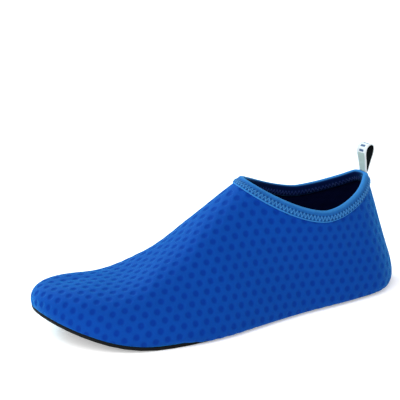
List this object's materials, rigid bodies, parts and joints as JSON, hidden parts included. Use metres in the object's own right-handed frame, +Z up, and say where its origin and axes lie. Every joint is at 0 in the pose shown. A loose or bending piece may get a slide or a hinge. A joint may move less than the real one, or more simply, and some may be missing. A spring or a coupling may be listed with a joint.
{
  "type": "water shoe",
  "caption": "Left water shoe: hollow stretch upper with bound collar and heel pull loop on a thin flexible rubber sole with honeycomb grip.",
  "frame": {"origin": "middle of the bounding box's floor, on the plane that heel and forefoot rest on", "axes": "+X points to the toe, +Y to the outer (little toe) side, +Z up"},
  "size_m": [0.2554, 0.1026, 0.0996],
  "materials": {
    "upper": "matte stretch knit with darker round dots",
    "collar_binding": "matte elastic tape with zigzag stitching",
    "pull_loop": "woven ribbon, pale outside and black inside",
    "outsole": "matte moulded rubber",
    "insole": "matte fabric on thin foam"
  },
  "bodies": {
    "root": {"upper": "upper", "collar_binding": "collar_binding", "pull_loop": "pull_loop", "outsole": "outsole", "insole": "insole"}
  },
  "joints": []
}
